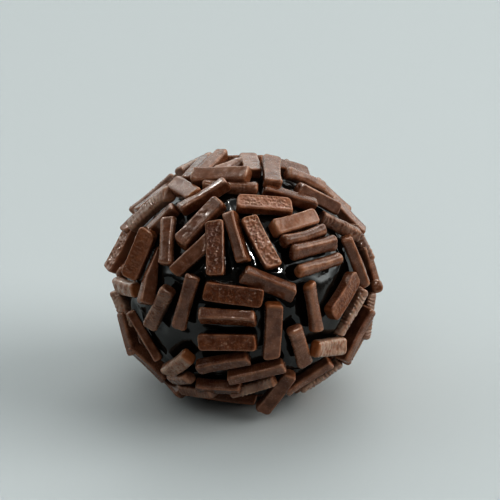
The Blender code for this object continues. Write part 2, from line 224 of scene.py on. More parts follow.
@dataclass
class Sprinkle:
    """One sprinkle where it lies: its middle, its axes and its sizes."""

    middle: Vector
    along: Vector
    across: Vector
    face: Vector
    length: float
    width: float
    thickness: float
    kind: Kind = Kind.SMOOTH
    taper: float = 0.0
    tone: Optional[float] = None
    warmth: Optional[float] = None
    slant: float = 0.0
    shown: bool = False

    def core_line(self) -> CoreLine:
        """The line along its middle, as a rounded stick that covers what it covers.

        Returns:
            The line's two ends, and half of how wide it is seen from outside the ball.
        """
        outward = self.middle.normalized()
        seen = abs(self.face.dot(outward)) * self.width
        seen += abs(self.across.dot(outward)) * self.thickness
        half = max(self.length - seen, 0.5) / 2
        return self.middle - half * self.along, self.middle + half * self.along, seen / 2


@dataclass
class FudgeBall:
    """The shape of the soft ball: a sphere with slow lumps, pressed flatter here and there.

    Pressed holds each way in which it is flatter and how far out it is flat there. Cheek is the way
    in which it bulges a little, by fuller_cheek.
    """

    radius: float = 13.25
    middle_height: float = 12.9
    foot_gap: float = 0.3
    lump: float = 0.12
    fuller_cheek: float = 0.5
    cheek_focus: int = 8
    softness: float = 0.5
    press_from: float = 0.3
    normal_step: float = 0.02
    way_rounds: int = 4
    cheek: Vector = field(default_factory=lambda: (0.96 * RIGHT - 0.28 * UP).normalized())
    pressed: list[tuple[Vector, float]] = field(default_factory=list)

    def __post_init__(self) -> None:
        """Fills in the ways in which the ball is pressed flatter."""
        self.pressed = [
            (Vector((0.0, 0.0, -1.0)), self.middle_height - self.foot_gap),
            ((-0.62 * RIGHT + 0.78 * UP).normalized(), 12.75),
            ((-0.75 * RIGHT - 0.66 * UP).normalized(), 12.95),
            ((0.03 * RIGHT + 0.97 * UP - 0.2 * TOWARD).normalized(), 12.75),
        ]

    def softly_least(self, one: float, other: float) -> float:
        """The lesser of two lengths, rounded over where they are nearly the same."""
        share = max(self.softness - abs(one - other), 0.0) / self.softness
        return min(one, other) - 0.25 * self.softness * share * share

    def skin_radius(self, way: Vector) -> float:
        """The distance from the middle to the skin.

        Args:
            way: A unit vector out of the middle.

        Returns:
            The distance, in millimetres.
        """
        lumps = math.sin(3.1 * way.x + 1.0) * math.cos(2.7 * way.y)
        lumps += math.sin(4.3 * way.z + 2.0 * way.x)
        fuller = max(way.dot(self.cheek), 0.0) ** self.cheek_focus
        radius = self.radius + self.lump * lumps + self.fuller_cheek * fuller
        for facing, distance in self.pressed:
            share = way.dot(facing)
            if share > self.press_from:
                radius = self.softly_least(radius, distance / share)
        return radius

    def skin_normal(self, way: Vector) -> Vector:
        """The outward normal of the skin.

        Args:
            way: A unit vector out of the middle.

        Returns:
            The unit normal.
        """
        side = way.orthogonal().normalized()
        other = way.cross(side)
        along_side = (way + self.normal_step * side).normalized()
        along_other = (way + self.normal_step * other).normalized()
        here = way * self.skin_radius(way)
        first = along_side * self.skin_radius(along_side) - here
        second = along_other * self.skin_radius(along_other) - here
        return first.cross(second).normalized()

    def way_seen_at(self, right: float, up: float, height: float) -> Vector:
        """Finds the spot seen from the front at a distance right and up of the middle.

        Args:
            right: Millimetres right of the middle.
            up: Millimetres up of the middle.
            height: How far above the skin the spot is.

        Returns:
            The unit vector from the middle to the spot.
        """
        eye = SHOWING_DISTANCE * TOWARD
        line = (right * RIGHT + up * UP - eye).normalized()
        nearest = -eye.dot(line)
        beside = eye + nearest * line
        radius = self.radius + height
        way = TOWARD
        for _ in range(self.way_rounds):
            inside = max(radius * radius - beside.length_squared, 0.0)
            way = (beside - math.sqrt(inside) * line).normalized()
            radius = self.skin_radius(way) + height
        return way


@dataclass
class SprinkleLay:
    """Lays every sprinkle on the ball: the showing side by table, the foot and the rest by rule.

    A foot spot is a place on the floor and a lean in degrees. The foot's ring is an oval, given by
    half its width, half its depth and how far back its middle is. A round of filling is its number
    of tries, the overlap it allows, a roll off the broad face in degrees and a lift.
    """

    ball: FudgeBall
    thickness: float = 1.35
    fuller_length: float = 1.03
    fuller_width: float = 1.08
    sunk: float = 0.5
    edge_sunk: float = 0.75
    seen_height: float = 0.35
    steepest: float = 2.0
    least_facing: float = 0.15
    foot_length: float = 5.4
    foot_width: float = 1.9
    foot_spots: tuple[tuple[float, float, float], ...] = (
        (0.0, 0.0, 20.0), (-1.0, 2.6, 24.0), (0.4, -2.7, 10.0))
    foot_ring: tuple[float, float, float] = (5.9, 5.4, 1.1)
    foot_turns: tuple[float, ...] = (0.2, 1.35, 2.7, 3.8, 5.6)
    seed: int = 7
    gap_points: int = 7
    fill_from: float = 0.05
    fill_down_to: float = -0.93
    fill_length: tuple[float, float] = (5.6, 6.6)
    fill_width: tuple[float, float] = (1.8, 2.15)
    fill_tilt: float = 12.0
    fill_turns: int = 12
    fill_choices: int = 4
    fill_rounds: tuple[tuple[int, float, float, float], ...] = (
        (450, 0.15, 0.0, -0.2),
        (300, 0.45, 0.0, -0.1),
        (450, 0.5, 90.0, -0.2),
        (150, 0.6, 90.0, 0.0),
    )
    kinds_seed: int = 23
    kind_shares: tuple[float, ...] = (0.3, 0.2, 0.12, 0.2, 0.18)

    def pressed_in(self, way: Vector, along: Vector, roll: float, length: float, width: float,
                   lift: float = 0.0) -> Sprinkle:
        """Presses one sprinkle into the skin.

        Args:
            way: The unit vector from the middle to the spot.
            along: The direction of its long side.
            roll: How far it is rolled off its broad face, in degrees.
            length: Its length.
            width: Its width.
            lift: How far it is lifted above its usual depth.

        Returns:
            The sprinkle in its place.
        """
        normal = self.ball.skin_normal(way)
        across = normal.cross(along).normalized()
        across = Matrix.Rotation(math.radians(roll), 3, along) @ across
        face = along.cross(across)
        upright = abs(math.sin(math.radians(roll)))
        half_height = abs(face.dot(normal)) * self.thickness / 2 + upright * width / 2
        sunk = self.sunk + (self.edge_sunk - self.sunk) * upright
        middle = way * self.ball.skin_radius(way) + (half_height - sunk + lift) * normal
        return Sprinkle(middle, along, across, face, length, width, self.thickness)

    def kept_off_floor(self, laid: Sprinkle) -> Sprinkle:
        """Raises a sprinkle so that no corner is below the floor.

        Args:
            laid: The sprinkle.

        Returns:
            The same sprinkle, raised if it had to be.
        """
        sides = ((laid.along, laid.length), (laid.across, laid.width), (laid.face, laid.thickness))
        lowest = laid.middle.z - sum(abs(axis.z) * size / 2 for axis, size in sides)
        laid.middle.z += max(-self.ball.middle_height - lowest, 0.0)
        return laid

    def showing(self) -> list[Sprinkle]:
        """Lays the showing side.

        Returns:
            The sprinkles of the table, in its order.
        """
        laid = []
        for row in SHOWING_SIDE:
            way = self.ball.way_seen_at(row.right, row.up, self.seen_height + row.lift)
            normal = self.ball.skin_normal(way)
            lean = math.radians(row.lean)
            level = math.cos(lean) * RIGHT + math.sin(lean) * UP
            if row.slope is FOLLOW:
                depth = -level.dot(normal) / max(TOWARD.dot(normal), self.least_facing)
                depth = min(max(depth, -self.steepest), self.steepest)
            else:
                depth = math.tan(math.radians(row.slope))
            along = (level + depth * TOWARD).normalized()
            length = self.fuller_length * row.length
            width = self.fuller_width * row.width
            made = self.pressed_in(way, along, row.roll, length, width, row.lift)
            made.kind = row.kind
            made.taper = row.taper
            made.tone = row.tone
            made.warmth = row.warmth
            made.slant = row.slant
            made.shown = True
            laid.append(self.kept_off_floor(made))
        return laid

    def foot(self) -> list[Sprinkle]:
        """Lays the sprinkles the ball stands on, flat on the floor.

        Returns:
            One in the middle, one each side of it, and a ring.
        """
        spots = list(self.foot_spots)
        half_across, half_away, back = self.foot_ring
        for turn in self.foot_turns:
            # Each lies along the ring, turned from it by a few degrees
            lean = math.degrees(turn) + 90 + 8 * math.sin(5 * turn)
            spots.append((half_across * math.cos(turn), back + half_away * math.sin(turn), lean))
        down = Vector((0.0, 0.0, -1.0))
        laid = []
        for x, y, lean in spots:
            angle = math.radians(lean)
            along = Vector((math.cos(angle), math.sin(angle), 0.0))
            middle = Vector((x, y, -self.ball.middle_height + self.thickness / 2))
            across = down.cross(along)
            sizes = (self.foot_length, self.foot_width, self.thickness)
            laid.append(Sprinkle(middle, along, across, down, *sizes))
        return laid

    def shortest_gap(self, line: CoreLine, others: CoreLines) -> float:
        """The least distance between a sprinkle's edges and those of the ones already laid.

        Args:
            line: The sprinkle's core line.
            others: The starts, ends and half widths of the core lines already laid.

        Returns:
            The distance, below 0 where they overlap.
        """
        start, stop, half_seen = line
        steps = np.linspace(0.0, 1.0, self.gap_points)[:, None, None]
        points = np.array(start)[None, None] * (1 - steps) + np.array(stop)[None, None] * steps
        from_ends, to_ends, halves = others
        spans = to_ends - from_ends
        share = ((points - from_ends[None]) * spans[None]).sum(2) / (spans * spans).sum(1)[None]
        nearest = from_ends[None] + np.clip(share, 0.0, 1.0)[..., None] * spans[None]
        away = np.linalg.norm(points - nearest, axis=2) - halves[None] - half_seen
        return float(away.min())

    def roomiest_way(self, dice: np.random.Generator, others: CoreLines) -> Optional[Vector]:
        """The way to the roomiest of a few random spots.

        Args:
            dice: Where the spots are drawn from.
            others: The starts, ends and half widths of the core lines already laid.

        Returns:
            The unit vector, or None if none of the spots is to be filled.
        """
        roomiest, most = None, -math.inf
        for _ in range(self.fill_choices):
            way = Vector(dice.normal(size=3)).normalized()
            if way.dot(TOWARD) > self.fill_from or way.z < self.fill_down_to:
                continue
            spot = way * (self.ball.skin_radius(way) + self.seen_height)
            room = self.shortest_gap((spot, spot, 0.0), others)
            if room > most:
                roomiest, most = way, room
        return roomiest

    def filling(self, laid: list[Sprinkle]) -> list[Sprinkle]:
        """Fills the rest of the ball: each try goes where there is room, turned to fit best.

        Args:
            laid: The sprinkles already there.

        Returns:
            The sprinkles added.
        """
        dice = np.random.default_rng(self.seed)
        lines = [each.core_line() for each in laid]
        added = []
        tries = [rest for count, *rest in self.fill_rounds for _ in range(count)]
        for overlap, roll, lift in tries:
            others = tuple(np.array(part) for part in zip(*lines))
            way = self.roomiest_way(dice, others)
            length = float(dice.uniform(*self.fill_length))
            width = float(dice.uniform(*self.fill_width))
            turn = dice.uniform(0.0, math.pi)
            tilt = dice.uniform(-self.fill_tilt, self.fill_tilt)
            if way is None:
                continue
            normal = self.ball.skin_normal(way)
            side = normal.orthogonal().normalized()
            best, best_gap = None, -overlap
            for step in range(self.fill_turns):
                angle = turn + math.pi * step / self.fill_turns
                along = Matrix.Rotation(angle, 3, normal) @ side
                tried = self.pressed_in(way, along, roll + tilt, length, width, lift)
                tried = self.kept_off_floor(tried)
                gap = self.shortest_gap(tried.core_line(), others)
                if gap > best_gap:
                    best, best_gap = tried, gap
            if best is not None:
                added.append(best)
                lines.append(best.core_line())
        return added

    def every_sprinkle(self) -> list[Sprinkle]:
        """Lays them all, and draws the kinds of those the table doesn't name.

        Returns:
            Every sprinkle on the ball.
        """
        laid = self.showing() + self.foot()
        added = self.filling(laid)
        dice = np.random.default_rng(self.kinds_seed)
        kinds = tuple(Kind)
        for each in laid[len(SHOWING_SIDE):] + added:
            each.kind = kinds[int(dice.choice(len(kinds), p=self.kind_shares))]
        return laid + added


@dataclass(frozen=True)
class SprinkleForm:
    """How one kind of sprinkle is shaped, in millimetres.

    Corner rounds its long edges, end_round the broad faces' edges at its ends, and plan_round its
    corners as seen on a broad face. Recess is how far the broad faces lie below their rims. Pits is
    how many there are on each, and pit_border how far they stay from its edge. Around and along are
    how finely it is meshed.
    """

    corner: float
    end_round: float
    plan_round: float
    recess: float
    pits: int
    pit_size: tuple[float, float]
    pit_depth: tuple[float, float]
    wave: float
    flare: float
    around: int
    along: int
    pit_border: float = 0.04
    ridge: float = 0.0
    ridge_pitch: float = 0.4


FORMS = {
    Kind.SMOOTH: SprinkleForm(
        corner=0.32, end_round=0.28, plan_round=0.5, recess=0.02,
        pits=30, pit_size=(0.13, 0.28), pit_depth=(0.01, 0.03), pit_border=0.14,
        wave=0.035, flare=0.12, around=36, along=50),
    Kind.SPECKLED: SprinkleForm(
        corner=0.28, end_round=0.24, plan_round=0.5, recess=0.025,
        pits=140, pit_size=(0.1, 0.19), pit_depth=(0.03, 0.07), pit_border=0.14,
        wave=0.02, flare=0.05, around=72, along=100),
    Kind.PITTED: SprinkleForm(
        corner=0.32, end_round=0.26, plan_round=0.45, recess=0.0,
        pits=110, pit_size=(0.17, 0.32), pit_depth=(0.1, 0.22),
        wave=0.02, flare=0.02, around=84, along=116),
    Kind.RIDGED: SprinkleForm(
        corner=0.46, end_round=0.26, plan_round=0.36, recess=0.0,
        pits=18, pit_size=(0.1, 0.2), pit_depth=(0.02, 0.05),
        wave=0.04, flare=0.06, around=44, along=84, ridge=0.045, ridge_pitch=0.42),
    Kind.ROUND: SprinkleForm(
        corner=0.62, end_round=0.42, plan_round=0.5, recess=0.0,
        pits=14, pit_size=(0.1, 0.25), pit_depth=(0.01, 0.03),
        wave=0.05, flare=0.13, around=38, along=60, ridge=0.01, ridge_pitch=0.5),
}


class SprinkleMesh(NamedTuple):
    """One sprinkle's mesh, in millimetres from the ball's middle.

    Finish is each point's shares of cut end, rounded edge (where a highlight is painted), tone (which on
    some bars also paints light and sky sheen) and pit. Place is where the point is in the bar, moved at
    random, so that no two bars show the same grain.
    """

    points: np.ndarray
    faces: list[Face]
    finish: np.ndarray
    place: np.ndarray


@dataclass
class SprinkleMaker:
    """Models sprinkles one by one, as rings of points along each bar.

    Plain_share is how finely the sprinkles laid by rule are meshed, beside those of the table.
    """

    plain_share: float = 0.5
    corner_steps: int = 8
    end_steps: int = 5
    cap_rings: tuple[float, ...] = (0.35, 0.7)
    rim_width: float = 0.75
    ripples: int = 5
    first_seed: int = 1000

    def section(self, width: float, thickness: float, corner: float, count: int) -> np.ndarray:
        """The cross-section: a rectangle with round corners, its points evenly spaced.

        Args:
            width: Its width.
            thickness: Its height.
            corner: The radius of its corners.
            count: How many points go round it.

        Returns:
            The points, across and out of the broad face.
        """
        corner = min(corner, 0.48 * width, 0.48 * thickness)
        flat_across = width / 2 - corner
        flat_up = thickness / 2 - corner
        outline = []
        for turn, (side, top) in enumerate(((1, 1), (-1, 1), (-1, -1), (1, -1))):
            for step in range(self.corner_steps + 1):
                angle = math.pi / 2 * (turn + step / self.corner_steps)
                x = side * flat_across + corner * math.cos(angle)
                y = top * flat_up + corner * math.sin(angle)
                outline.append((x, y))
        outline.append(outline[0])
        points = np.array(outline)
        steps = np.linalg.norm(np.diff(points, axis=0), axis=1)
        reached = np.concatenate([[0.0], np.cumsum(steps)])
        wanted = np.linspace(0.0, reached[-1], count, endpoint=False)
        return np.stack([np.interp(wanted, reached, points[:, axis]) for axis in (0, 1)], 1)

    def stations(self, length: float, end_round: float, plan_round: float, count: int) -> np.ndarray:
        """The rings along a bar.

        Args:
            length: The bar's length.
            end_round: The radius of the broad faces' edge at the ends.
            plan_round: The radius of the corners, seen on the broad face.
            count: How many rings go between the ends.

        Returns:
            For each ring its place along, how far its sides and its broad faces are set in, and the
            share of its size.
        """
        half = length / 2
        outer = max(end_round, plan_round)
        first = [(-half, plan_round, end_round, share) for share in self.cap_rings]
        for step in range(self.end_steps + 1):
            depth = outer * (1 - math.cos(math.pi / 2 * step / self.end_steps))
            insets = [
                radius - math.sqrt(max(radius**2 - max(radius - depth, 0.0) ** 2, 0.0))
                for radius in (plan_round, end_round)
            ]
            first.append((-half + depth, *insets, 1.0))
        straight = half - outer
        middle = [(straight * (2 * step / count - 1), 0.0, 0.0, 1.0) for step in range(1, count)]
        mirrored = [(-ring[0], *ring[1:]) for ring in reversed(first)]
        return np.array(first + middle + mirrored)

    def relief(self, form: SprinkleForm, place: np.ndarray, section: np.ndarray, facing: np.ndarray,
               sprinkle: Sprinkle,
               dice: np.random.Generator) -> tuple[np.ndarray, np.ndarray, np.ndarray]:
        """How far each point stands out of the plain bar, with its shares of rounded edge, where a
        highlight is painted, and of pit.

        Args:
            form: The kind's shape.
            place: Each point's place along the bar.
            section: Each point's place across and out of the broad face.
            facing: Each point's normal, along, across and out of the face.
            sprinkle: The sprinkle.
            dice: The sprinkle's own random numbers.

        Returns:
            The heights, the shares of rounded edge, where the shader paints a highlight, and the shares
            of pit.
        """
        across, out = section[..., 0], section[..., 1]
        from_side = sprinkle.width / 2 - np.abs(across)
        from_end = sprinkle.length / 2 - np.abs(place)
        inner = np.minimum(from_side, from_end)
        broad = smooth_step(0.6, 0.95, np.abs(facing[..., 2]))
        wide = self.rim_width
        corner = np.hypot(np.maximum(wide - from_side, 0.0), np.maximum(wide - from_end, 0.0))
        inner = np.where((from_side < wide) & (from_end < wide), wide - corner, inner)
        floor_share = broad * smooth_step(0.2, 0.42, inner)
        # Rounded edges: the shader paints a highlight and a translucent glow on them
        highlit_rim = smooth_step(0.25, 0.6, np.sort(np.abs(facing), axis=2)[..., 1])
        pitted_share = broad * smooth_step(form.pit_border, form.pit_border + 0.16, inner)
        height = -form.recess * floor_share
        pit = np.zeros_like(place)
        for side in (-1.0, 1.0):
            on_side = pitted_share * (np.sign(out) == side)
            deepest = np.zeros_like(place)
            for _ in range(form.pits):
                centre_along = dice.uniform(-0.47, 0.47) * sprinkle.length
                centre_across = dice.uniform(-0.42, 0.42) * sprinkle.width
                size = dice.uniform(*form.pit_size)
                depth = dice.uniform(*form.pit_depth)
                stretch = dice.uniform(0.7, 1.4)
                away = ((place - centre_along) / stretch) ** 2 + (across - centre_across) ** 2
                dent = np.exp(-(away / size**2) ** 1.5)
                deepest = np.maximum(deepest, depth * dent)
                pit = np.maximum(pit, dent * on_side)
            height -= deepest * on_side
        turn = np.arctan2(out, across)
        height += self.waves(form, place, turn, dice)
        if form.ridge > 0.0:
            height += self.ridges(form, place, turn, dice) * smooth_step(0.05, 0.35, from_end)
        return height, highlit_rim, pit

    def waves(self, form: SprinkleForm, place: np.ndarray, turn: np.ndarray,
              dice: np.random.Generator) -> np.ndarray:
        """The slow and fine unevenness of a bar.

        Args:
            form: The kind's shape.
            place: Each point's place along the bar.
            turn: Each point's angle round the bar.
            dice: The sprinkle's own random numbers.

        Returns:
            The heights.
        """
        slow = np.zeros_like(place)
        fine = np.zeros_like(place)
        for _ in range(self.ripples):
            slow += self.ripple(place, turn, (0.4, 1.4), (1, 4), dice)
            fine += self.ripple(place, turn, (3.0, 7.0), (2, 7), dice)
        return form.wave * slow / 3.0 + 0.15 * form.wave * fine / 3.0

    def ripple(self, place: np.ndarray, turn: np.ndarray, rates: tuple[float, float],
               rounds: tuple[int, int], dice: np.random.Generator) -> np.ndarray:
        """One ripple along and round a bar, its rate and its waves round it drawn from ranges."""
        along = dice.uniform(*rates) * place
        return np.sin(along + dice.integers(*rounds) * turn + dice.uniform(0, START_TURN))

    def ridges(self, form: SprinkleForm, place: np.ndarray, turn: np.ndarray,
               dice: np.random.Generator) -> np.ndarray:
        """Fine wandering ridges across a bar, stronger in some patches than in others.

        Args:
            form: The kind's shape.
            place: Each point's place along the bar.
            turn: Each point's angle round the bar.
            dice: The sprinkle's own random numbers.

        Returns:
            The heights.
        """
        starts = dice.uniform(0, START_TURN, 6)
        wander = np.sin(2.0 * turn + starts[0]) + np.sin(0.9 * place + 3.0 * turn + starts[1])
        wander += 1.2 * np.sin(2.3 * place + starts[2]) + 0.6 * np.sin(5.1 * place + 5.0 * turn)
        pitch = form.ridge_pitch * dice.uniform(0.8, 1.2)
        wave = np.sin(2 * math.pi * place / pitch + 1.1 * wander)
        patchy = np.sin(1.3 * place + starts[3] + 2.0 * turn) * np.sin(2.7 * place + starts[4] - turn)
        return form.ridge * (0.2 + smooth_step(-0.5, 0.7, patchy)) * wave

    def skin_faces(self, rings: int, around: int) -> list[Face]:
        """Joins rings of points into a closed skin, with a fan over each end.

        Args:
            rings: How many rings there are.
            around: How many points each ring has.

        Returns:
            The faces. The two ends' middle points come after those of the rings.
        """
        faces: list[Face] = []
        for ring in range(rings - 1):
            base, above = ring * around, (ring + 1) * around
            for here in range(around):
                after = (here + 1) % around
                faces.append((base + here, base + after, above + after, above + here))
        first_middle = rings * around
        last = (rings - 1) * around
        for here in range(around):
            after = (here + 1) % around
            faces.append((first_middle, after, here))
            faces.append((first_middle + 1, last + here, last + after))
        return faces

    def model(self, sprinkle: Sprinkle, number: int) -> SprinkleMesh:
        """Models one sprinkle.

        Args:
            sprinkle: The sprinkle.
            number: Its number, which seeds its own irregularity.

        Returns:
            Its mesh.
        """
        form = FORMS[sprinkle.kind]
        dice = np.random.default_rng(self.first_seed + number)
        share = 1.0 if sprinkle.shown else self.plain_share
        around = int(share * form.around)
        along = int(share * form.along)
        outline = self.section(sprinkle.width, sprinkle.thickness, form.corner, around)
        end_round = min(form.end_round * dice.uniform(0.8, 1.25), 0.45 * sprinkle.thickness)
        plan_round = min(form.plan_round * dice.uniform(0.7, 1.3), 0.3 * sprinkle.width)
        rings = self.stations(sprinkle.length, end_round, plan_round, along)
        place = np.repeat(rings[:, :1], around, axis=1)
        half_sizes = np.array([sprinkle.width, sprinkle.thickness]) / 2
        shares = 1 - rings[:, 1:3] / half_sizes
        section = outline[None] * shares[:, None, :] * rings[:, 3][:, None, None]
        points = np.concatenate([place[..., None], section], axis=2)
        step_along = np.gradient(points, axis=0)
        step_around = np.roll(points, -1, axis=1) - np.roll(points, 1, axis=1)
        facing = np.cross(step_around, step_along)
        facing /= np.maximum(np.linalg.norm(facing, axis=2, keepdims=True), 1e-9)
        height, highlit_rim, pit = self.relief(form, place, section, facing, sprinkle, dice)
        points = points + facing * height[..., None]
        points = self.worked(points, sprinkle, form, dice)
        cut = 1.0 - smooth_step(0.02, end_round + 0.3, sprinkle.length / 2 - np.abs(place))
        drawn = dice.uniform(0.05, 0.6)
        bare = dice.uniform(0.0, 0.45)
        # A given tone also paints the light and grey sky sheen that fall on some bars
        tone = np.full_like(cut, drawn if sprinkle.tone is None else sprinkle.tone)
        cut = cut * (bare if sprinkle.warmth is None else sprinkle.warmth)
        finish = np.stack([cut, highlit_rim, tone, pit], -1).reshape(-1, 4)
        middles = np.stack([points[0].mean(0), points[-1].mean(0)])
        middle_finish = np.array([[cut[0, 0], 0.0, tone[0, 0], 0.0]] * 2)
        local = np.concatenate([points.reshape(-1, 3), middles])
        axes = np.array([sprinkle.along, sprinkle.across, sprinkle.face])
        return SprinkleMesh(
            points=local @ axes + np.array(sprinkle.middle),
            faces=self.skin_faces(len(rings), around),
            finish=np.concatenate([finish, middle_finish]),
            place=local + dice.uniform(-50, 50, 3),
        )

    def worked(self, points: np.ndarray, sprinkle: Sprinkle, form: SprinkleForm,
               dice: np.random.Generator) -> np.ndarray:
        """Bends, flares, tapers and cuts a bar askew, as no two come out of the die the same.

        Args:
            points: The bar's points, along, across and out of the face.
            sprinkle: The sprinkle.
            form: The kind's shape.
            dice: The sprinkle's own random numbers.

        Returns:
            The points moved.
        """
        place, across, out = points[..., 0], points[..., 1], points[..., 2]
        share = 2.0 * place / sprinkle.length
        flare = 1.0 + dice.uniform(0.2, 1.0) * form.flare * (np.abs(share) ** 3 - 0.5)
        narrowed = sprinkle.taper * smooth_step(-0.4, 1.0, share)
        across = across * flare * (1.0 - narrowed)
        out = out * flare * (1.0 - 0.5 * narrowed)
        bend = dice.uniform(-0.06, 0.14)
        sway = dice.uniform(-0.08, 0.08)
        out = out - bend * share**2 + 0.4 * bend
        across = across + sway * share**2 - 0.4 * sway
        near_end = smooth_step(0.55, 1.0, np.abs(share))
        first = dice.uniform(-0.16, 0.16, 2)
        second = dice.uniform(-0.16, 0.16, 2)
        slant = np.where(
            share > 0,
            first[0] * across + first[1] * out,
            second[0] * across + second[1] * out,
        )
        toward = across * sprinkle.across.dot(TOWARD) + out * sprinkle.face.dot(TOWARD)
        place = place + slant * near_end - sprinkle.slant * toward * np.clip(share, 0.0, 1.0)
        twist = dice.uniform(-0.07, 0.07) * share
        turned_across = across * np.cos(twist) - out * np.sin(twist)
        turned_out = across * np.sin(twist) + out * np.cos(twist)
        return np.stack([place, turned_across, turned_out], -1)


class Links:
    """Adds nodes to a tree and joins their sockets."""

    def __init__(self, tree: bpy.types.NodeTree) -> None:
        """Keeps the tree."""
        self.tree = tree

    def add(self, kind: str, **settings: object) -> bpy.types.Node:
        """Adds a node.

        Args:
            kind: The node's type, without its ShaderNode prefix.
            **settings: The node's own settings.

        Returns:
            The node.
        """
        name = kind if kind.startswith("Node") else "ShaderNode" + kind
        made = self.tree.nodes.new(name)
        for key, value in settings.items():
            setattr(made, key, value)
        return made

    def put(self, source: object, target: bpy.types.NodeSocket) -> None:
        """Joins a socket to another, or sets a plain value on it.

        Args:
            source: The socket or value.
            target: The socket it goes to.
        """
        if isinstance(source, bpy.types.NodeSocket):
            self.tree.links.new(source, target)
        else:
            target.default_value = source

    def math(self, operation: str, *values: object, clamp: bool = False) -> bpy.types.NodeSocket:
        """Adds a Math node.

        Args:
            operation: What it does.
            *values: Its inputs.
            clamp: Whether its result is kept from 0 to 1.

        Returns:
            Its result.
        """
        made = self.add("Math", operation=operation, use_clamp=clamp)
        for value, socket in zip(values, made.inputs):
            self.put(value, socket)
        return made.outputs[0]

    def mix(self, share: object, first: object, second: object) -> bpy.types.NodeSocket:
        """Mixes two colours.

        Args:
            share: How much of the second.
            first: The first colour.
            second: The second colour.

        Returns:
            The mixed colour.
        """
        made = self.add("Mix", data_type="RGBA")
        self.put(share, made.inputs["Factor"])
        self.put(first, made.inputs[6])
        self.put(second, made.inputs[7])
        return made.outputs[2]

    def noise(self, vector: object, scale: float, detail: float = 2.0,
              roughness: float = 0.5) -> bpy.types.NodeSocket:
        """Adds a noise texture.

        Args:
            vector: Where it is read.
            scale: Its scale.
            detail: Its detail.
            roughness: Its roughness.

        Returns:
            Its value.
        """
        made = self.add("TexNoise", noise_dimensions="3D")
        self.put(vector, made.inputs["Vector"])
        made.inputs["Scale"].default_value = scale
        made.inputs["Detail"].default_value = detail
        made.inputs["Roughness"].default_value = roughness
        return made.outputs["Fac"]

    def spread(self, value: object, low: float, high: float, new_low: float = 0.0,
               new_high: float = 1.0) -> bpy.types.NodeSocket:
        """Maps one range onto another, smoothly and clamped.

        Args:
            value: The value.
            low: The bottom of its range.
            high: The top of its range.
            new_low: What the bottom becomes.
            new_high: What the top becomes.

        Returns:
            The mapped value.
        """
        made = self.add("MapRange", interpolation_type="SMOOTHSTEP", clamp=True)
        self.put(value, made.inputs["Value"])
        ends = {"From Min": low, "From Max": high, "To Min": new_low, "To Max": new_high}
        for name, number in ends.items():
            made.inputs[name].default_value = number
        return made.outputs[0]

    def times(self, first: object, second: object, clamp: bool = False) -> bpy.types.NodeSocket:
        """Multiplies two values."""
        return self.math("MULTIPLY", first, second, clamp=clamp)

    def plus(self, first: object, second: object, clamp: bool = False) -> bpy.types.NodeSocket:
        """Adds two values."""
        return self.math("ADD", first, second, clamp=clamp)

    def rest_of(self, share: object) -> bpy.types.NodeSocket:
        """What is left of one when a share is taken away."""
        return self.math("SUBTRACT", 1.0, share)


def group_socket(tree: bpy.types.NodeTree, name: str, way: str, kind: str, value: object = None) -> None:
    """Gives a node group a socket.

    Args:
        tree: The group.
        name: The socket's name.
        way: INPUT or OUTPUT.
        kind: Its type, such as NodeSocketFloat.
        value: Its default.
    """
    made = tree.interface.new_socket(name=name, in_out=way, socket_type=kind)
    if value is not None:
        made.default_value = value


